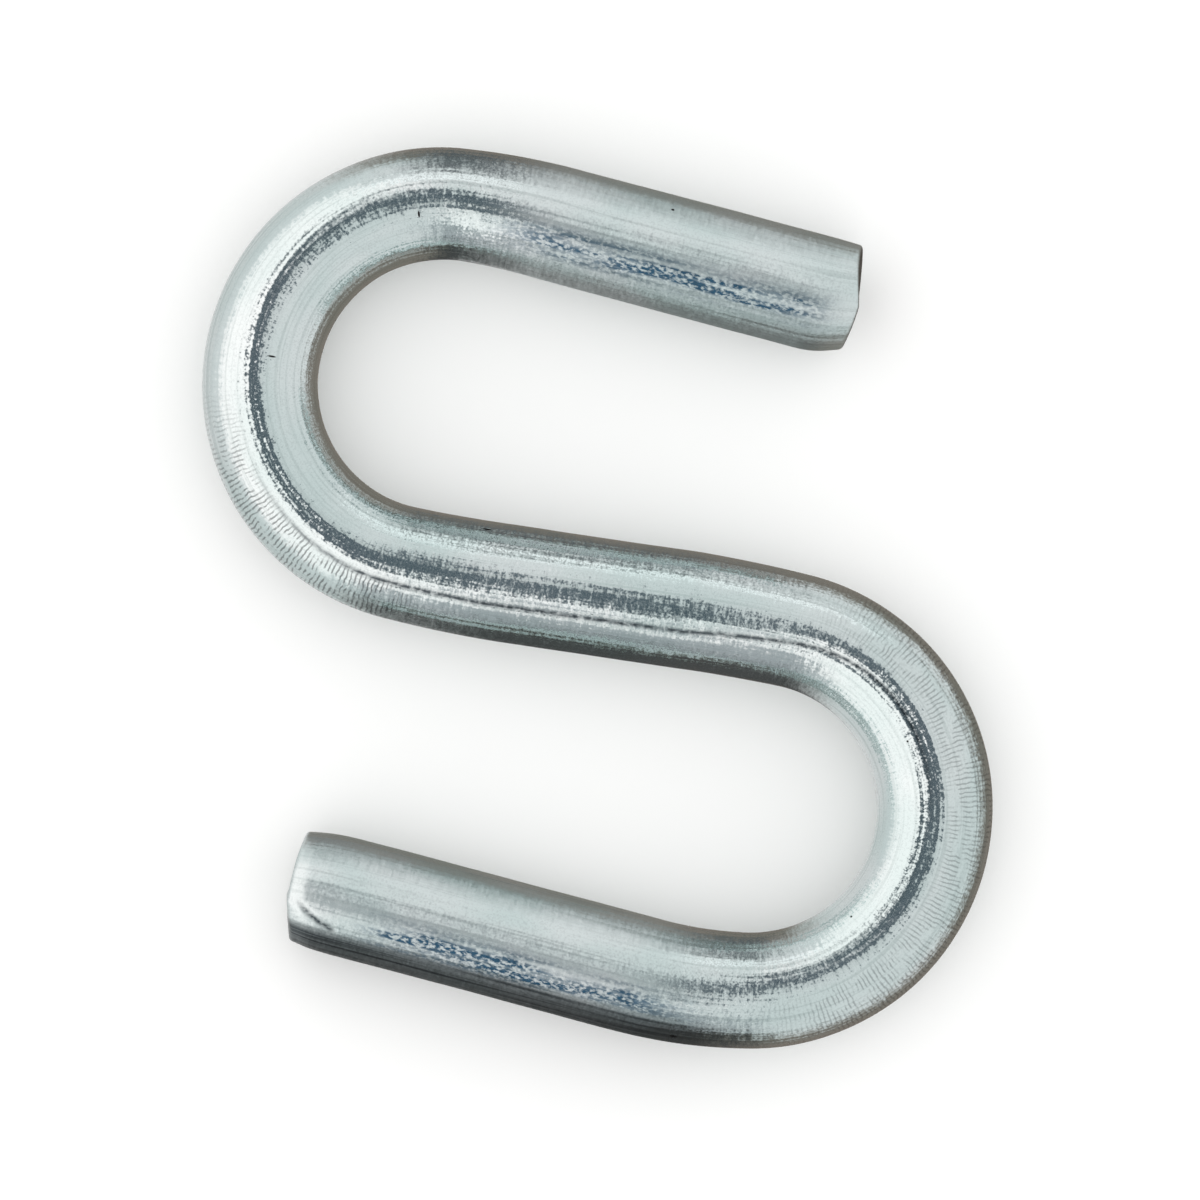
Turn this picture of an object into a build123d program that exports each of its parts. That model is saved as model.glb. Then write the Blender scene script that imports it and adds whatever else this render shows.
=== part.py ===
import os
from math import degrees, radians, tan

from build123d import *

# S hook bent cold from one length of round steel wire and plated afterwards.
# It lies flat, as it would come to rest: X runs along the middle leg and Z is up.
# The origin is under the middle of the S, at the height of the wire's lowest point.
# Lengths are in millimetres and turns in degrees.

# Wire as it comes off the coil
wire_diameter = 6.72

# Bending draws the wire thinner, and the tool grips it thinner still where it leaves the bend.
# Each is a share of the wire's diameter. The free legs keep the whole of it.
upper_bend_share = 0.97
lower_bend_share = 0.98
upper_grip_share = 0.95
lower_grip_share = 0.985

# Middle leg, the straight run that joins the two bends
middle_length = 10.5

# Each bend eases off the middle leg, turns round the forming pin, and eases into its free leg.
# The seat is the wall that the pin leaves inside the bend, where a load hangs.
seat_radius = 7.13
bend_turn = 186.5
middle_ease_radius = 72.0
middle_ease_turn = 4.9
upper_ease_radius = 39.0
upper_ease_turn = 7.4
lower_ease_radius = 27.0
lower_ease_turn = 13.2

# Free legs, from the end of the bend to the ridge of the sheared end
upper_leg_length = 18.2
lower_leg_length = 20.73

# Sheared ends: over the last stretch before the ridge the cutter draws the wire in all round,
# most of it on the side of the mouth
upper_draw_length = 3.2
upper_draw_inside = 0.6
upper_draw_outside = 0.05
lower_draw_length = 3.6
lower_draw_inside = 0.35
lower_draw_outside = 0.2

# The cutter leaves two shallow facets on each end, which meet at an upright ridge.
# The ridge stands this far from the centre line, towards the outside of the hook.
upper_ridge_offset = -0.3
upper_outer_facet_tilt = 8.0
upper_inner_facet_tilt = 9.0
lower_ridge_offset = 0.9
lower_outer_facet_tilt = 16.0
lower_inner_facet_tilt = 4.5

# Wire beyond the ridge that the cutter takes away, and the soft rim that it leaves
trim_allowance = 0.6
rim_radius = 0.3

wire_radius = wire_diameter / 2


def half_route(start, heading, bend_share, ease_radius, ease_turn, leg_length, draw_length):
    """Centre line of one half of the hook, from the middle leg to the end of its blank."""
    bend_radius = seat_radius + wire_radius * bend_share
    seat_turn = bend_turn - middle_ease_turn - ease_turn
    middle_ease = JernArc(start, heading, middle_ease_radius, -middle_ease_turn)
    seat = JernArc(middle_ease @ 1, middle_ease % 1, bend_radius, -seat_turn)
    free_ease = JernArc(seat @ 1, seat % 1, ease_radius, -ease_turn)
    leg = Line(free_ease @ 1, free_ease @ 1 + (free_ease % 1) * (leg_length - draw_length))
    tip = Line(leg @ 1, leg @ 1 + (leg % 1) * (draw_length + trim_allowance))
    return middle_ease, seat, free_ease, leg, tip


def wire_section(line, position, share=1, draw_inside=0, draw_outside=0):
    """Section square to the centre line, drawn in on the side of the mouth and on the outside."""
    outside = Vector(0, 0, 1).cross(line % position)
    with BuildSketch(Plane(origin=line @ position, x_dir=outside, z_dir=line % position)) as section:
        with Locations(((draw_inside - draw_outside) / 2, 0)):
            Circle(wire_radius * share - (draw_inside + draw_outside) / 2)
    return section.sketch


def bent_run(arc, bend_share):
    """Wire along one arc, drawn evenly as it turns about the arc's axis."""
    turning_axis = Axis(arc.arc_center, (0, 0, -1))
    section = wire_section(arc, 0, bend_share)
    revolve(section, axis=turning_axis, revolution_arc=degrees(arc.length / arc.radius))


def gripped_run(arc, bend_share, grip_share):
    """Wire along one arc, thinnest halfway, where the tool's grip was, and whole at its end."""
    sections = [wire_section(arc, 0, bend_share), wire_section(arc, 0.5, grip_share), wire_section(arc, 1)]
    sweep(sections, path=arc, multisection=True)


def drawn_tip(tip, draw_length, draw_inside, draw_outside):
    """Last stretch of the blank, which curves in ever faster towards the cut."""
    sections = []
    for position in (0, 0.5, 1):
        drawn = (position * tip.length / draw_length) ** 2
        sections.append(wire_section(tip, position, 1, draw_inside * drawn, draw_outside * drawn))
    loft(sections)


def wire_half(route, bend_share, grip_share, draw_length, draw_inside, draw_outside):
    """Wire of one half of the hook, from the middle leg to the end of its blank."""
    middle_ease, seat, free_ease, leg, tip = route
    bent_run(middle_ease, bend_share)
    bent_run(seat, bend_share)
    gripped_run(free_ease, bend_share, grip_share)
    extrude(wire_section(leg, 0), amount=leg.length)
    drawn_tip(tip, draw_length, draw_inside, draw_outside)


def shear_end(leg, draw_length, ridge_offset, outer_tilt, inner_tilt):
    """Take off what lies beyond the two facets, seen from above as the cutter comes down."""
    reach = wire_diameter
    outer_setback = (reach - ridge_offset) * tan(radians(outer_tilt))
    inner_setback = (reach + ridge_offset) * tan(radians(inner_tilt))
    ridge = leg @ 1 + (leg % 1) * draw_length
    with BuildSketch(Plane(origin=ridge, x_dir=leg % 1, z_dir=(0, 0, 1))) as cut:
        with BuildLine():
            Polyline((0, ridge_offset), (-outer_setback, reach), (reach, reach),
                     (reach, -reach), (-inner_setback, -reach), close=True)
        make_face()
    extrude(cut.sketch, amount=wire_diameter, both=True, mode=Mode.SUBTRACT)


# Centre line of the whole hook, bent outwards from the middle leg
with BuildLine(Plane.XY.offset(wire_radius)):
    middle = Line((-middle_length / 2, 0), (middle_length / 2, 0))
    upper_route = half_route(middle @ 0, (middle % 0) * -1, upper_bend_share,
                             upper_ease_radius, upper_ease_turn, upper_leg_length, upper_draw_length)
    lower_route = half_route(middle @ 1, middle % 1, lower_bend_share,
                             lower_ease_radius, lower_ease_turn, lower_leg_length, lower_draw_length)
upper_leg = upper_route[-2]
lower_leg = lower_route[-2]

# One piece of wire
with BuildPart() as s_hook:
    middle_sections = [wire_section(middle, 0, upper_bend_share), wire_section(middle, 0.5),
                       wire_section(middle, 1, lower_bend_share)]
    loft(middle_sections, ruled=True)
    wire_half(upper_route, upper_bend_share, upper_grip_share,
              upper_draw_length, upper_draw_inside, upper_draw_outside)
    wire_half(lower_route, lower_bend_share, lower_grip_share,
              lower_draw_length, lower_draw_inside, lower_draw_outside)
    shear_end(upper_leg, upper_draw_length, upper_ridge_offset,
              upper_outer_facet_tilt, upper_inner_facet_tilt)
    shear_end(lower_leg, lower_draw_length, lower_ridge_offset,
              lower_outer_facet_tilt, lower_inner_facet_tilt)
    facets = s_hook.faces().filter_by(GeomType.PLANE)
    rims = facets.edges().filter_by(GeomType.LINE, reverse=True)
    fillet(rims, rim_radius)

os.makedirs("parts", exist_ok=True)
s_hook.part.label = "s_hook"
export_step(s_hook.part, "parts/s_hook.step")
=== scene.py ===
from math import asin, cos, pi, radians, sin, tan

import bpy
import numpy as np
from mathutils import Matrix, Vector, noise


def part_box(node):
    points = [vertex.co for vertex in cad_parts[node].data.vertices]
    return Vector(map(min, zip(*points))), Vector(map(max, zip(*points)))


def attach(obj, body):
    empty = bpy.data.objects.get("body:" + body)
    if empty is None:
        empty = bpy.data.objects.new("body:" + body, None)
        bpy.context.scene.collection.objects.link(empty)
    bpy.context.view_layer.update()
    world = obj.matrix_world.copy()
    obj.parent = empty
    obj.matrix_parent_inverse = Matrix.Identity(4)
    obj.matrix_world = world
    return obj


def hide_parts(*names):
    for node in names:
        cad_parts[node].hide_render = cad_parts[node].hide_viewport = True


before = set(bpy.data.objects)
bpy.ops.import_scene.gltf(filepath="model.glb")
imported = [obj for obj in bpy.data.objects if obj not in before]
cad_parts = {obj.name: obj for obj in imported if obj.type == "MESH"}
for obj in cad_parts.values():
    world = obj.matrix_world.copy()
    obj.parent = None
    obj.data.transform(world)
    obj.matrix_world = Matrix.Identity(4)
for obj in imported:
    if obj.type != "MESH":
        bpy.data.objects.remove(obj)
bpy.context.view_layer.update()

# The wire: one length of drawn round steel, cropped at both ends and bent cold round a pin.
# Bending draws it a little thinner, crazes the plate on the outside of each bend and leaves the
# long die line that runs along the middle leg. The cutter leaves a leaning face at each end.
mm = 0.001
wire_diameter = 6.72 * mm
middle_length = 10.5 * mm
seat_radius = 7.13 * mm
bend_turn = radians(186.5)
middle_ease_radius = 72.0 * mm
middle_ease_turn = radians(4.9)
wire_radius = wire_diameter / 2
box_low, box_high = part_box("s_hook")
middle_height = (box_low.z + box_high.z) / 2

# What differs between the two halves, each from the middle leg out to its sheared end.
# A share is the wire's width there, seen from above, as a part of its diameter. bend_share is the
# solid's, which sets the bend's radius, and seat_share is the width that shows in the bend.
# At the end, the top of the face lies back by cut_lean and is rolled down by roll_over, and
# cut_dirt is how much of its bare steel shows.
middle_share = 1.005
upper_half = {
    "bend_share": 0.97, "seat_share": 0.979, "grip_share": 0.945, "leg_share": 0.99,
    "ease_radius": 39.0 * mm, "ease_turn": radians(7.4), "leg_length": 18.2 * mm,
    "draw_length": 3.2 * mm, "draw_inside": 0.6 * mm, "draw_outside": 0.05 * mm,
    "ridge_offset": -0.3 * mm, "outer_tilt": radians(8.0), "inner_tilt": radians(9.0),
    "cut_lean": 0.46 * mm, "roll_over": 0.1 * mm, "cut_dirt": 1.0,
}
lower_half = {
    "bend_share": 0.98, "seat_share": 0.979, "grip_share": 0.985, "leg_share": 1.012,
    "ease_radius": 27.0 * mm, "ease_turn": radians(13.2), "leg_length": 20.73 * mm,
    "draw_length": 3.6 * mm, "draw_inside": 0.35 * mm, "draw_outside": 0.2 * mm,
    "ridge_offset": 0.9 * mm, "outer_tilt": radians(16.0), "inner_tilt": radians(4.5),
    "cut_lean": 0.5 * mm, "roll_over": 0.32 * mm, "cut_dirt": 0.25,
}

# Sheared ends: how far back from the cut the blade rolls the top over, how far back the facets
# fade out, between which places across the wire, in radii, the face comes to its full lean, how
# soft its rim is, and how far in from the wire's side its bare steel starts and is full.
roll_over_length = 1.1 * mm
facet_reach = 2.5 * mm
lean_breadth = (-0.6, 0.9)
rim_radius = 0.18 * mm
bare_cut_edge = (0.02 * mm, 0.16 * mm)

# Mesh: how finely the wire is divided along it, how finely around it, with its points closer
# together on the crown than underneath, and how finely its soft rims and its end faces are, in to
# the innermost ring, which lies that share of the wire's radius in from its side
ring_spacing = 0.26 * mm
end_spacing = 0.12 * mm
end_length = 4.0 * mm
ring_points = 160
crown_crowding = 0.45
rim_steps = 4
face_steps = 7
innermost_ring = 0.97


def half_runs(half):
    """Length and clockwise turn of each run of the centre line, out from the middle."""
    seat_turn = bend_turn - middle_ease_turn - half["ease_turn"]
    bend_radius = seat_radius + wire_radius * half["bend_share"]
    return [
        (middle_length / 2, 0.0),
        (middle_ease_radius * middle_ease_turn, middle_ease_turn),
        (bend_radius * seat_turn, seat_turn),
        (half["ease_radius"] * half["ease_turn"], half["ease_turn"]),
        (half["leg_length"], 0.0),
    ]


def walk(half, distance):
    """Point and heading of the centre line that far out from the middle."""
    point = np.zeros(distance.shape + (2,))
    heading = np.zeros(distance.shape)
    ahead = distance.copy()
    for length, turn in half_runs(half):
        step = np.clip(ahead, 0, length)
        bend = turn * step / length
        chord = step * np.sinc(bend / (2 * pi))
        point[..., 0] += chord * np.cos(heading - bend / 2)
        point[..., 1] += chord * np.sin(heading - bend / 2)
        heading -= bend
        ahead -= length
    return point, heading


def smooth(value, low, high):
    """Rise smoothly from 0 at low to 1 at high."""
    share = np.clip((value - low) / (high - low), 0, 1)
    return share * share * (3 - 2 * share)


def band(value, start, full, fade, end):
    """Rise smoothly from 0 at start to 1 at full, and fall again from fade to end."""
    return smooth(value, start, full) * (1 - smooth(value, fade, end))


def half_rings(total):
    """Rings of one half: how far each is from the end, and how far in from the wire's side."""
    plain = np.linspace(total, end_length, int((total - end_length) / ring_spacing), endpoint=False)
    near_end = np.arange(end_length, rim_radius, -end_spacing)
    turn = np.linspace(0, pi / 2, rim_steps + 1)
    face = np.linspace(rim_radius, wire_radius * innermost_ring, face_steps + 1)[1:]
    from_end = np.concatenate([plain, near_end, rim_radius * (1 - np.sin(turn)), np.zeros(face_steps)])
    inset = np.concatenate([np.zeros(len(plain) + len(near_end)), rim_radius * (1 - np.cos(turn)), face])
    return from_end[:, None], inset[:, None]


def half_wire(half, side):
    """Points of one half; side is 1 where the sections' left is outside the bend, or -1."""
    stations = np.cumsum([0] + [length for length, turn in half_runs(half)])
    total = stations[-1]
    from_end, inset = half_rings(total)
    turn = np.linspace(0, 2 * pi, ring_points, endpoint=False)[None, :]
    angle = turn + crown_crowding * np.cos(turn)
    left, up = np.cos(angle), np.sin(angle)

    half_way = (stations[2] + stations[3]) / 2
    places = [0, stations[1], stations[2], half_way, stations[3], stations[4], total]
    shares = [middle_share, middle_share, half["seat_share"], half["seat_share"],
              half["grip_share"], half["leg_share"], half["leg_share"]]
    share = np.interp(total - from_end, places, shares)
    drawn = np.clip(1 - from_end / half["draw_length"], 0, 1) ** 2
    shift = (half["draw_inside"] - half["draw_outside"]) / 2 * drawn
    drawn_in = (half["draw_inside"] + half["draw_outside"]) / 2 * drawn
    half_width = wire_radius * share - drawn_in
    half_height = wire_radius * np.minimum(share, 1 / share) - drawn_in

    across = shift + side * left * (half_width - inset)
    height = up * (half_height - inset)
    rolled = smooth(height, 0, wire_radius) * np.clip(1 - from_end / roll_over_length, 0, 1) ** 2
    height = height - half["roll_over"] * rolled
    past_ridge = across - half["ridge_offset"]
    setback = np.where(past_ridge > 0, past_ridge * tan(half["outer_tilt"]),
                       -past_ridge * tan(half["inner_tilt"]))
    lean = half["cut_lean"] * smooth(across / wire_radius, *lean_breadth)
    setback = setback + lean * (height + half_height) / (2 * half_height)
    distance = total - from_end - setback * (1 - smooth(from_end, 0, facet_reach))
    on_blank = np.stack([left * (wire_radius - inset), up * (wire_radius - inset), side * distance],
                        axis=-1)
    cut = half["cut_dirt"] * smooth(inset, *bare_cut_edge) * np.ones_like(distance)
    return distance, across, height, on_blank, cut


# Lines that the drawing die and the tools leave along the wire. Each has its points, as a place
# along the wire and a place across it in wire radii, its width and its depth.
die_line = ((-23 * mm, -0.35), (-13 * mm, -0.37), (-6 * mm, -0.4), (5 * mm, -0.38),
            (10 * mm, -0.26), (16 * mm, -0.1), (19 * mm, -0.08), (27 * mm, -0.12))
second_line = ((-30 * mm, -0.28), (-20 * mm, -0.27), (-6 * mm, -0.3), (5 * mm, -0.28),
               (10 * mm, -0.17), (16 * mm, 0.03), (26 * mm, -0.03), (36 * mm, -0.2), (42 * mm, -0.3))
third_line = ((-4 * mm, -0.5), (5 * mm, -0.47), (10 * mm, -0.36), (16 * mm, -0.18),
              (26 * mm, -0.24), (36 * mm, -0.42), (42 * mm, -0.55))
left_streak = ((-41 * mm, -0.32), (-36 * mm, -0.2), (-28 * mm, -0.11), (-18 * mm, -0.02),
               (-12 * mm, 0.06))
left_second_streak = ((-40 * mm, -0.42), (-34 * mm, -0.29), (-26 * mm, -0.19), (-17 * mm, -0.11),
                      (-11 * mm, -0.02))
shear_crease = ((65.4 * mm, 0.56), (66.0 * mm, 0.53), (66.7 * mm, 0.467), (67.5 * mm, 0.35),
                (68.3 * mm, 0.185))
grooves = (
    (die_line, 0.26 * mm, 0.05 * mm),
    (second_line, 0.16 * mm, 0.016 * mm),
    (third_line, 0.16 * mm, 0.016 * mm),
    (left_streak, 0.15 * mm, 0.022 * mm),
    (left_second_streak, 0.14 * mm, 0.02 * mm),
    (shear_crease, 0.24 * mm, 0.08 * mm),
)
# Widths of the shade painted along the die line and the shear crease
die_line_shade_width = 0.13 * mm
crease_shade_width = 0.16 * mm

# Which way the tools pressed the top of the wire: places along it, how far its top leans to the
# left of the blank there, and how much of the wire's radius that lean takes up
crown_lean = ((-66 * mm, 0.08), (-50 * mm, 0.08), (-42 * mm, -0.12), (-35 * mm, -0.08),
              (-22 * mm, 0.0), (8 * mm, 0.02), (18 * mm, 0.11), (26 * mm, 0.02), (40 * mm, -0.14),
              (50 * mm, 0.08), (66 * mm, 0.08))
crown_breadth = 0.65

# Slow waves of the drawn surface: how long each is, how high, and where its noise starts
waves = ((9.0 * mm, 0.03 * mm, 3.0), (3.5 * mm, 0.014 * mm, 11.0))

# Marks on the plate, and where shade and a blue reflection are painted on it. Each starts, is full,
# fades and ends at these places along the wire, and at these places across it in wire radii. A mark with
# two places doesn't fade again.
# Blue on the legs where they lean towards the bottom of the picture: thick passivate, and a painted blue
# reflection
blue_stretch = (43 * mm, 49 * mm, 62.5 * mm, 65.5 * mm)
blue_breadth = (0.0, 0.25, 0.52, 0.7)
# Painted shade on the lower leg, along its side towards the bottom of the picture
low_side_shade_stretch = (40 * mm, 48 * mm)
low_side_shade_breadth = (0.52, 0.68)
left_crazing_stretch = (-26 * mm, -20 * mm, -12 * mm, -9 * mm)
left_crazing_breadth = (0.25, 0.5)
right_crazing_stretch = (11 * mm, 17 * mm, 36 * mm, 44 * mm)
right_crazing_breadth = (0.05, 0.35)
right_crazing_share = 0.6
dull_stretch = (42 * mm, 50 * mm)


def groove_share(on_blank, line, width):
    """How deep in a line's groove each point lies, from 0 beside it to 1 along its middle."""
    places = [place for place, across in line]
    along = on_blank[..., 2]
    across = np.interp(along, places, [across for place, across in line]) * wire_radius
    groove = np.exp(-((on_blank[..., 0] - across) / width) ** 2) * (on_blank[..., 1] > 0)
    return groove * band(along, places[0], places[1], places[-2], places[-1])


def relief(on_blank):
    """How far the real surface stands off the true section, outwards."""
    stand = np.zeros(on_blank.shape[:2])
    for size, height, seed in waves:
        for ring in range(on_blank.shape[0]):
            for spot in range(on_blank.shape[1]):
                place = Vector(on_blank[ring, spot]) / size
                stand[ring, spot] += height * noise.noise(place + Vector((seed, seed, seed)))
    for line, width, depth in grooves:
        stand -= depth * groove_share(on_blank, line, width)
    slope = np.interp(on_blank[..., 2], [place for place, lean in crown_lean],
                      [lean for place, lean in crown_lean])
    across = on_blank[..., 0]
    crown = np.exp(-(across / (crown_breadth * wire_radius)) ** 2) * (on_blank[..., 1] > 0)
    return stand + slope * across * crown


def plate_marks(on_blank):
    """Crazing, blue of thick passivate and painted reflection, painted shade in grooves, dullness and
    painted shade on the lower leg.
    """
    along = on_blank[..., 2]
    across = on_blank[..., 0] / wire_radius
    left_crazing = band(along, *left_crazing_stretch) * smooth(-across, *left_crazing_breadth)
    right_crazing = band(along, *right_crazing_stretch) * smooth(across, *right_crazing_breadth)
    crazed = left_crazing + right_crazing_share * right_crazing
    # Blue of thick passivate, and a painted blue reflection on the legs
    blue_passivate_and_reflection = band(abs(along), *blue_stretch) * band(across, *blue_breadth)
    # Shade painted along the die line and the shear crease
    groove_shade = np.maximum(groove_share(on_blank, die_line, die_line_shade_width),
                       groove_share(on_blank, shear_crease, crease_shade_width))
    dull = smooth(abs(along), *dull_stretch)
    # Painted shade on the lower leg's side towards the bottom of the picture
    low_side_shade = smooth(along, *low_side_shade_stretch) * smooth(across, *low_side_shade_breadth)
    return crazed, blue_passivate_and_reflection, groove_shade, dull, low_side_shade


def ring_faces(ring_count, point_count):
    """Faces of four corners between each ring of points and the next."""
    corners = np.arange(ring_count * point_count).reshape(ring_count, point_count)
    after = np.roll(corners, -1, axis=1)
    return np.stack([corners[:-1], after[:-1], after[1:], corners[1:]], axis=-1).reshape(-1, 4).tolist()


def wire_mesh():
    """The whole wire as one closed skin, from its upper end to its lower end."""
    halves = []
    for half, side in ((upper_half, -1), (lower_half, 1)):
        distance, across, height, on_blank, cut = half_wire(half, side)
        stand = relief(on_blank)
        across = across + side * on_blank[..., 0] / wire_radius * stand
        height = height + on_blank[..., 1] / wire_radius * stand
        point, heading = walk(half, distance)
        x = point[..., 0] - np.sin(heading) * across
        y = point[..., 1] + np.cos(heading) * across
        ring = np.stack([side * x, side * y, middle_height + height], axis=-1)
        run = np.stack([np.cos(heading), np.sin(heading), np.zeros_like(heading)], axis=-1)
        crazed, blue_passivate_and_reflection, groove_shade, dull, low_side_shade = plate_marks(on_blank)
        marks = np.stack([crazed, blue_passivate_and_reflection, cut], axis=-1)
        # Painted shade in the grooves and on the lower leg's low side, and where the plate is dull
        shade_and_dull = np.stack([groove_shade, dull, low_side_shade], axis=-1)
        halves.append((ring, on_blank / mm, run, marks, shade_and_dull))
    joined = [np.concatenate([upper[:0:-1], lower]) for upper, lower in zip(*halves)]
    rings, on_blank, run, marks, shade_and_dull = joined

    faces = ring_faces(len(rings), ring_points)
    upper_centre = len(rings) * ring_points
    lower_centre = upper_centre + 1
    last_ring = upper_centre - ring_points
    for spot in range(ring_points):
        beyond = (spot + 1) % ring_points
        faces.append((upper_centre, beyond, spot))
        faces.append((lower_centre, last_ring + spot, last_ring + beyond))

    def with_ends(values):
        """One row for each corner, with the middle of each end face last."""
        return np.vstack([values.reshape(-1, 3), values[0].mean(axis=0), values[-1].mean(axis=0)])

    mesh = bpy.data.meshes.new("s_hook_wire")
    mesh.from_pydata(with_ends(rings).tolist(), [], faces)
    mesh.shade_smooth()
    for name, values in (("on_blank", on_blank), ("run", run), ("marks", marks), ("shade_and_dull", shade_and_dull)):
        attribute = mesh.attributes.new(name, "FLOAT_VECTOR", "POINT")
        attribute.data.foreach_set("vector", with_ends(values).ravel())
    return mesh


wire = bpy.data.objects.new("s_hook_wire", wire_mesh())
bpy.context.collection.objects.link(wire)
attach(wire, "root")
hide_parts("s_hook")

# Nicks and pits on the top of the wire: their place along it and across it, and half their length
# along it and half their width across it, in millimetres. Measured in those halves, each is whole
# up to the first distance from its middle and gone at the second.
nicks = (
    (-54.5, -2.4, 0.11, 0.1), (-40.3, 0.74, 0.08, 0.24), (-27.0, 0.72, 0.07, 0.28),
    (-6.8, 2.85, 0.3, 0.1), (45.8, 2.9, 0.22, 0.16), (34.0, -2.2, 0.09, 0.08), (21.0, -0.9, 0.08, 0.08),
)
nick_edge = (0.6, 1.1)
beyond_all_nicks = 1000.0

# Patterns of the plate, each with its size around the wire and along it in millimetres, and how
# many finer layers it has. The tools leave hairs across the wire every 0.18 mm, and the die leaves
# lines along it that run for about 12 mm. The real lines and the grain of the plate are finer than
# 0.05 mm, which the render can't show, so they are drawn 0.22 and 0.125 mm wide. Cracks cross the
# stretched side of a bend every 0.23 mm.
hair_size = (0.769, 0.1818, 2.0)
line_size = (0.2222, 12.5, 3.0)
grain_size = (0.125, 0.125, 1.0)
cloud_size = (3.333, 8.333, 2.0)
crack_patch_size = (0.6667, 1.111, 2.0)
blue_dab_size = (0.1667, 0.3125, 3.0)
blue_streak_size = (0.5882, 8.333, 2.0)
# Pattern of the shade painted in the grooves
groove_shade_size = (0.3333, 0.4545, 2.0)
crack_spacing = 0.2293

# How rough the plate is where it is bright, on the free legs, where it is dull, and on the cut
bright_roughness = 0.17
leg_roughness = 0.38
cut_roughness = 0.5


def srgb(code):
    """Linear colour of an sRGB hex value."""
    shares = [int(code[place:place + 2], 16) / 255 for place in (1, 3, 5)]
    linear = [share / 12.92 if share <= 0.04045 else ((share + 0.055) / 1.055) ** 2.4
              for share in shares]
    return (*linear, 1.0)


def add_node(tree, kind, inputs, **settings):
    """Add a shader node with its settings; each input is a value or the socket that feeds it."""
    node = tree.nodes.new(kind)
    for name, value in settings.items():
        setattr(node, name, value)
    for name, value in inputs.items():
        if isinstance(value, bpy.types.NodeSocket):
            tree.links.new(value, node.inputs[name])
        else:
            node.inputs[name].default_value = value
    return node


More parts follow.
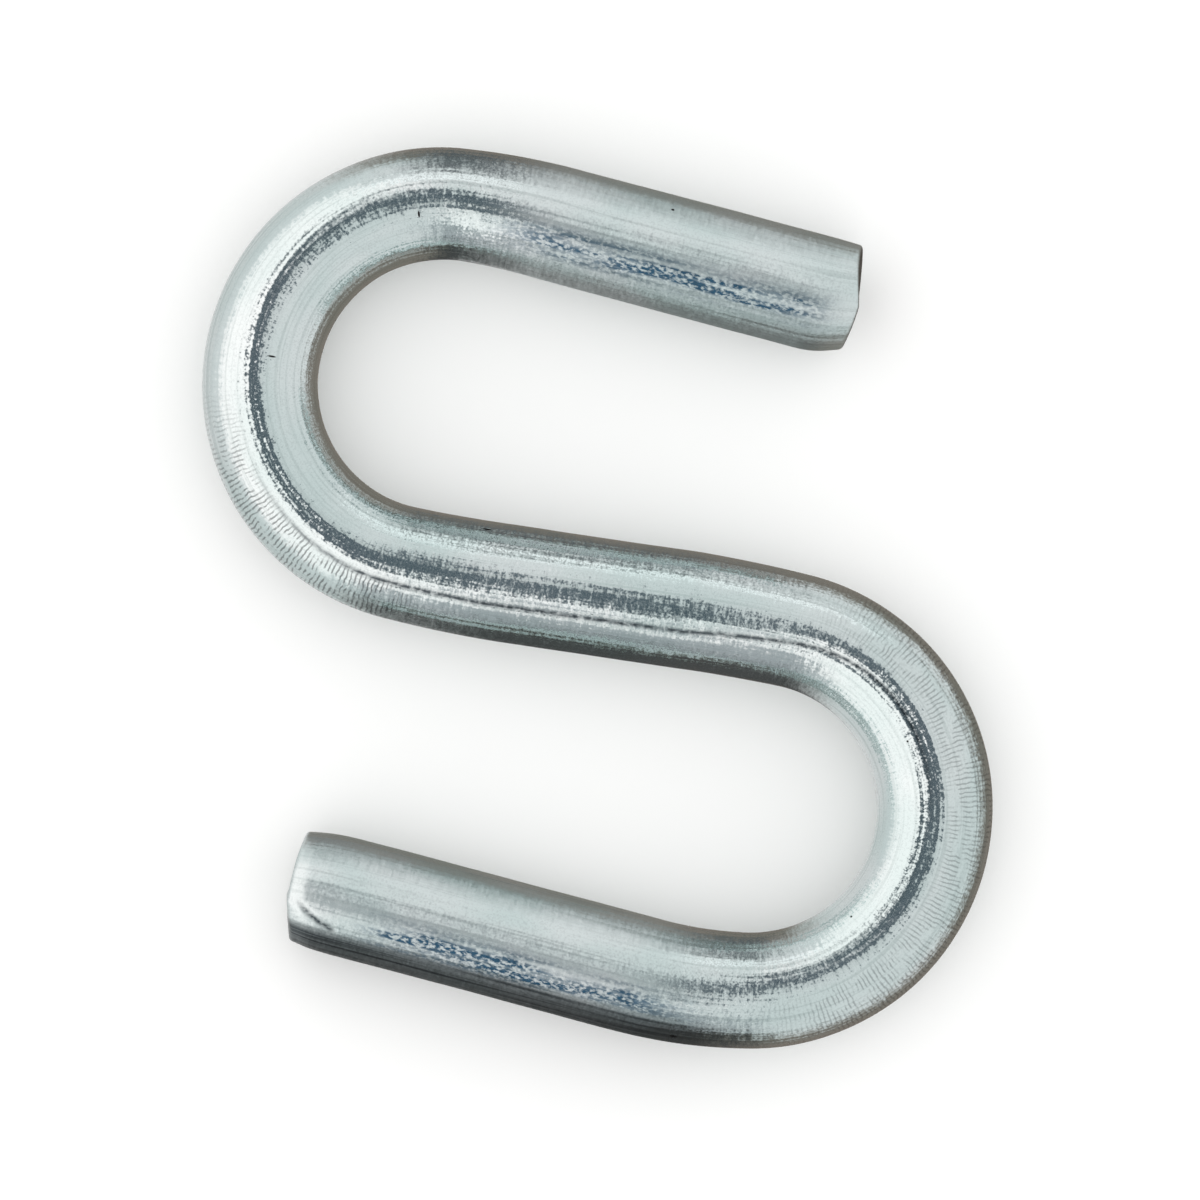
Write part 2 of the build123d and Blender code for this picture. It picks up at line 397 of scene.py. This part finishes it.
def zinc_plate():
    """Bright zinc plate, electroplated and passivated over drawn steel wire. It mirrors the
    lights softly, with die lines along it and fine cracks across the stretched side of a bend."""
    material = bpy.data.materials.new("bright_zinc_plate_passivated")
    material.use_nodes = True
    tree = material.node_tree
    tree.nodes.clear()
    on_blank = add_node(tree, "ShaderNodeAttribute", {}, attribute_name="on_blank").outputs["Vector"]
    run = add_node(tree, "ShaderNodeAttribute", {}, attribute_name="run").outputs["Vector"]
    marks = add_node(tree, "ShaderNodeAttribute", {}, attribute_name="marks").outputs["Vector"]
    crazed, blue_passivate_and_reflection, cut = add_node(tree, "ShaderNodeSeparateXYZ", {0: marks}).outputs
    # Painted shade in the grooves and on the lower leg's low side, and where the plate is dull
    shade_and_dull = add_node(tree, "ShaderNodeAttribute", {}, attribute_name="shade_and_dull").outputs["Vector"]
    groove_shade, dull, low_side_shade = add_node(tree, "ShaderNodeSeparateXYZ", {0: shade_and_dull}).outputs

    def pattern(size):
        """Noise on the straight blank, drawn out to its size around and along the wire."""
        around_size, along_size, detail = size
        place = add_node(tree, "ShaderNodeMapping", {
            "Vector": on_blank, "Scale": (1 / around_size, 1 / around_size, 1 / along_size)})
        texture = add_node(tree, "ShaderNodeTexNoise", {
            "Vector": place.outputs[0], "Scale": 1.0, "Detail": detail})
        return texture.outputs

    def patches(mark, size, bare, full, least):
        """A mark broken up by a pattern: its least share up to the value bare, all of it from full."""
        share = add_node(tree, "ShaderNodeMapRange", {
            "Value": pattern(size)["Fac"], "From Min": bare, "From Max": full,
            "To Min": least, "To Max": 1.0}, interpolation_type="SMOOTHSTEP")
        broken = add_node(tree, "ShaderNodeMath", {0: share.outputs["Result"], 1: mark},
                          operation="MULTIPLY")
        return broken.outputs[0]

    # The surface leans by the hairs, the die lines and the grain: round the wire or along it, each
    # by half its amount either way, because noise runs from 0 to 1
    hairs = pattern(hair_size)
    lines = pattern(line_size)
    grain = pattern(grain_size)
    hair_lean, hair_slope = add_node(tree, "ShaderNodeSeparateColor", {0: hairs["Color"]}).outputs[:2]
    grain_lean, grain_slope = add_node(tree, "ShaderNodeSeparateColor", {0: grain["Color"]}).outputs[:2]
    rubbed = add_node(tree, "ShaderNodeNewGeometry", {}).outputs["Normal"]
    around = add_node(tree, "ShaderNodeVectorMath", {0: run, 1: rubbed},
                      operation="CROSS_PRODUCT").outputs[0]
    for direction, value, amount in ((around, hair_lean, 0.27), (run, hair_slope, 0.24),
                                     (around, lines["Fac"], 0.5), (around, grain_lean, 0.34),
                                     (run, grain_slope, 0.2)):
        reach = add_node(tree, "ShaderNodeMath", {0: value, 1: amount, 2: -amount / 2},
                         operation="MULTIPLY_ADD")
        lean = add_node(tree, "ShaderNodeVectorMath", {0: direction, 3: reach.outputs[0]},
                        operation="SCALE")
        rubbed = add_node(tree, "ShaderNodeVectorMath", {0: rubbed, 1: lean.outputs[0]},
                          operation="ADD").outputs[0]

    # Cracks across the stretched side of each bend. Bands of scale 1 are pi / 10 apart.
    cracks = add_node(tree, "ShaderNodeTexWave", {
        "Vector": on_blank, "Scale": pi / 10 / crack_spacing, "Distortion": 3.5,
        "Detail": 2.0, "Detail Scale": 1.2}, wave_type="BANDS", bands_direction="Z")

    # How far each point is from the nearest nick, in the nick's own half length and width
    from_nick = beyond_all_nicks
    for along, across, length, width in nicks:
        top = (wire_radius / mm) * cos(asin(across / (wire_radius / mm)))
        place = add_node(tree, "ShaderNodeMapping", {
            "Vector": on_blank, "Scale": (1 / width, 1 / width, 1 / length),
            "Location": (-across / width, -top / width, -along / length)})
        away = add_node(tree, "ShaderNodeVectorMath", {0: place.outputs[0]}, operation="LENGTH")
        from_nick = add_node(tree, "ShaderNodeMath", {0: from_nick, 1: away.outputs["Value"]},
                             operation="MINIMUM").outputs[0]

    # What lies over the pale zinc, one layer on the last: where it is, the pattern that it follows,
    # between which values of it the layer goes from its first share to its last, and its colour
    everywhere = 1.0
    layers = (
        # Cloudy plate
        (everywhere, pattern(cloud_size)["Fac"], 0.35, 0.65, 0.0, 1.0, "#cfdedd"),
        # Blue in short dabs that lie in streaks: thick passivate, and a painted blue reflection where
        # the legs lean towards the bottom of the picture
        (patches(blue_passivate_and_reflection, blue_streak_size, 0.34, 0.56, 0.2), pattern(blue_dab_size)["Fac"],
         0.37, 0.57, 0.2, 1.0, "#365a72"),
        # Soot in the grain, and dull metal between the die lines
        (everywhere, grain["Fac"], 0.3, 0.55, 0.12, 0.0, "#5c6468"),
        (everywhere, lines["Fac"], 0.32, 0.5, 0.22, 0.0, "#7f918f"),
        # Painted shade in the grooves
        (groove_shade, pattern(groove_shade_size)["Fac"], 0.36, 0.6, 0.5, 1.0, "#2f3b42"),
        # Dark stain low on the lower leg
        # Painted shade on the lower leg, along its side towards the bottom of the picture
        (low_side_shade, lines["Fac"], 0.35, 0.6, 0.95, 0.75, "#2b3439"),
        # Cracks in the plate
        (patches(crazed, crack_patch_size, 0.36, 0.56, 0.0), cracks.outputs["Fac"],
         0.05, 0.5, 0.7, 0.0, "#54585a"),
        # Nicks and pits
        (everywhere, from_nick, *nick_edge, 1.0, 0.0, "#2c2c2c"),
        # Bare steel of the cut, browned
        (cut, grain["Fac"], 0.4, 0.55, 1.0, 0.8, "#3a322b"),
    )
    colour = srgb("#dde6e6")
    for where, value, low, high, first, last, tone in layers:
        share = add_node(tree, "ShaderNodeMapRange", {
            "Value": value, "From Min": low, "From Max": high, "To Min": first, "To Max": last},
            interpolation_type="SMOOTHSTEP")
        cover = add_node(tree, "ShaderNodeMath", {0: share.outputs["Result"], 1: where},
                         operation="MULTIPLY")
        colour = add_node(tree, "ShaderNodeMix", {0: cover.outputs[0], 6: colour, 7: srgb(tone)},
                          data_type="RGBA").outputs[2]

    roughness = bright_roughness
    for where, rough in ((cut, cut_roughness), (dull, leg_roughness)):
        there = add_node(tree, "ShaderNodeMapRange", {
            "Value": where, "To Min": bright_roughness, "To Max": rough},
            interpolation_type="SMOOTHSTEP")
        roughness = add_node(tree, "ShaderNodeMath", {0: roughness, 1: there.outputs["Result"]},
                             operation="MAXIMUM").outputs[0]
    surface = add_node(tree, "ShaderNodeBsdfPrincipled", {
        "Base Color": colour, "Metallic": 1.0, "Roughness": roughness, "Normal": rubbed})
    add_node(tree, "ShaderNodeOutputMaterial", {"Surface": surface.outputs[0]})
    return material


wire.data.materials.append(zinc_plate())


# The floor: plain white card, matt, which the hook lies on. It is wide enough to fill every view,
# and the plate doesn't mirror it.
floor_width = 6.0
floor_corners = [(right * floor_width / 2, up * floor_width / 2, 0)
                 for right, up in ((-1, -1), (1, -1), (1, 1), (-1, 1))]
floor_mesh = bpy.data.meshes.new("floor")
floor_mesh.from_pydata(floor_corners, [], [(0, 1, 2, 3)])
floor = bpy.data.objects.new("floor", floor_mesh)
bpy.context.collection.objects.link(floor)
floor.location.z = box_low.z
floor.visible_glossy = False

# Uncoated card: all its light is scattered, so it has no gloss
card = bpy.data.materials.new("white_card")
card.use_nodes = True
card.node_tree.nodes.clear()
matt = add_node(card.node_tree, "ShaderNodeBsdfPrincipled", {
    "Base Color": srgb("#f8f8f7"), "Roughness": 1.0, "Specular IOR Level": 0.0})
add_node(card.node_tree, "ShaderNodeOutputMaterial", {"Surface": matt.outputs[0]})
floor_mesh.materials.append(card)


# The camera: a long lens looks straight down on the hook as it lies. The middle leg slopes down
# to the right in the picture, so the camera is turned by that slope instead of the hook.
picture_turn = radians(8.398)
lens_length = 200.0
sensor_width = 36.0
picture_width = 68.49 * mm
aim_right = 0.161 * mm
aim_down = 0.187 * mm
picture_right = Vector((cos(picture_turn), sin(picture_turn), 0))
picture_up = Vector((-sin(picture_turn), cos(picture_turn), 0))
camera_data = bpy.data.cameras.new("overhead_camera")
camera_data.lens = lens_length
camera_data.sensor_width = sensor_width
camera = bpy.data.objects.new("overhead_camera", camera_data)
camera.location = picture_right * aim_right - picture_up * aim_down
camera.location.z = middle_height + picture_width * lens_length / sensor_width
camera.rotation_euler = (0, 0, picture_turn)
bpy.context.collection.objects.link(camera)
bpy.context.scene.camera = camera


# The light: a round tent of pale cloth lit from outside, with a bright window on the left and
# a dark gap between the window and the top, where the lens looks in. Only polished metal sees it.
tent_radius = 1.5
tent_rings = 160
tent_columns = 320
tent_depth = 0.995


def cloth_light(code, strength):
    """Light of one part of the tent: its colour, and how bright it is beside white paper."""
    return strength * np.array(srgb(code)[:3])


# Each part of the tent is placed by the surface that mirrors it, as it stands in the picture: how
# far that leans right and up, from 0 where it faces the lens to 1 where it is edge on, or which way
# it leans. Two numbers are the sides of a soft edge, four are those of both edges of a part, and a
# reach is half a width.

# Pale cloth all round, and which part of it counts as the left
pale_cloth = cloth_light("#ffffff", 0.86)
left_side = (0.15, 0.6)
least_lean = 1e-6

# Darker cloth on the low side, towards the bottom of the picture
low_cloth = cloth_light("#f5faff", 0.46)
low_side_heading = radians(-112)
low_side = (0.85, 0.97)
low_cloth_top = (0.3, 0.42)

# Dark foot, which rises on the low side and all but vanishes on the left
foot = cloth_light("#fff0e1", 0.24)
low_foot = cloth_light("#ffffff", 0.07)
foot_lean = 0.82
low_foot_rise = 0.15
foot_edge = (-0.1, 0.08)
left_foot_loss = 0.85

# Thin bright slit above the top
slit_strength = 0.6
slit_lean = 0.46
slit_reach = 0.02
slit_end = (0.3, 0.4)

# Window: how far out it goes, how much further on the left, and its least share of full strength
window = cloth_light("#fff8f7", 1.36)
window_side = (0.0, 0.2)
window_lean = 0.36
window_left_lean = 0.32
window_edge = 0.06
window_least = 0.75

# Dark post at the top of the picture
post = cloth_light("#eef7ff", 0.14)
post_heading = radians(88)
post_reach = radians(10)
post_height = (0.5, 0.64, 0.86, 0.98)

# Dark gap where the lens looks in, long and narrow, and partly veiled towards its top
gap_cloth = cloth_light("#d0ebff", 0.15)
gap_right = -0.08
gap_up = 0.05
gap_heading = radians(102)
gap_length_reach = 0.25
gap_width_reach = 0.125
gap_edge = (0.7, 1.3)
gap_veil = 0.65
gap_veil_edge = (0.06, 0.26)


def blend(low, high, share):
    """Mix two lights by a share of the second."""
    return low + (high - low) * share[..., None]


def tent_light(right, up):
    """Light from the part of the tent that a surface mirrors if it leans right and up so far."""
    lean = np.hypot(right, up) + least_lean
    left = smooth(-right / lean, *left_side)
    towards_low = (cos(low_side_heading) * right + sin(low_side_heading) * up) / lean
    low = smooth(towards_low, *low_side) * (1 - left)
    light = blend(pale_cloth, low_cloth, low * smooth(lean, *low_cloth_top))

    past_foot = lean - foot_lean + low_foot_rise * low
    light = blend(light, blend(foot, low_foot, low),
                  smooth(past_foot, *foot_edge) * (1 - left_foot_loss * left))
    slit = np.exp(-((up - slit_lean) / slit_reach) ** 2) * (1 - smooth(abs(right), *slit_end))
    light = light + slit_strength * slit[..., None]

    window_end = window_lean + window_left_lean * left
    in_window = smooth(-right / lean, *window_side)
    in_window *= 1 - smooth(lean - window_end, -window_edge, window_edge)
    light = blend(light, window, in_window * (window_least + (1 - window_least) * left))
    in_post = np.exp(-((np.arctan2(up, right) - post_heading) / post_reach) ** 2)
    light = blend(light, post, in_post * band(lean, *post_height))

    along = cos(gap_heading) * (right - gap_right) + sin(gap_heading) * (up - gap_up)
    across = sin(gap_heading) * (right - gap_right) - cos(gap_heading) * (up - gap_up)
    off = np.hypot(along / gap_length_reach, across / gap_width_reach)
    in_gap = (1 - smooth(off, *gap_edge)) * (1 - gap_veil * smooth(up, *gap_veil_edge))
    return blend(light, gap_cloth, in_gap)


# A surface that leans by some angle mirrors the tent at twice that angle from straight up.
# The tent closes to a small hole straight below, at that share of a half turn.
polar = np.linspace(0, pi * tent_depth, tent_rings)[:, None]
azimuth = np.linspace(0, 2 * pi, tent_columns, endpoint=False)[None, :]
tent_points = np.stack([np.sin(polar) * np.cos(azimuth), np.sin(polar) * np.sin(azimuth),
                        np.cos(polar) * np.ones_like(azimuth)], axis=-1)
leaning = np.sin(polar / 2)
brightness = tent_light(leaning * np.cos(azimuth), leaning * np.sin(azimuth))
brightness = np.concatenate([brightness, np.ones_like(brightness[..., :1])], axis=-1)
tent_mesh = bpy.data.meshes.new("light_tent")
tent_mesh.from_pydata((tent_points.reshape(-1, 3) * tent_radius).tolist(), [],
                      ring_faces(tent_rings, tent_columns))
tent_mesh.attributes.new("lit", "FLOAT_COLOR", "POINT").data.foreach_set("color", brightness.ravel())
tent = bpy.data.objects.new("light_tent", tent_mesh)
bpy.context.collection.objects.link(tent)
tent.rotation_euler = (0, 0, picture_turn)
tent.visible_camera = False
tent.visible_diffuse = False
tent.visible_shadow = False

# Woven cloth lit from behind: it glows evenly, with no weave to see from so far
cloth = bpy.data.materials.new("lit_cloth")
cloth.use_nodes = True
cloth.node_tree.nodes.clear()
lit = add_node(cloth.node_tree, "ShaderNodeAttribute", {}, attribute_name="lit")
glow = add_node(cloth.node_tree, "ShaderNodeEmission", {"Color": lit.outputs["Color"], "Strength": 1.0})
add_node(cloth.node_tree, "ShaderNodeOutputMaterial", {"Surface": glow.outputs[0]})
cloth.cycles.emission_sampling = "NONE"
tent_mesh.materials.append(cloth)

# The room: even white light from all round, a little above full so that the card comes out white.
# It lights the card and fills the picture behind it, and the plate doesn't mirror it.
room_strength = 1.2
world = bpy.data.worlds.new("room_light")
world.use_nodes = True
world.node_tree.nodes["Background"].inputs["Color"].default_value = srgb("#ffffff")
world.node_tree.nodes["Background"].inputs["Strength"].default_value = room_strength
world.cycles_visibility.glossy = False
bpy.context.scene.world = world
bpy.context.scene.view_settings.view_transform = "Standard"
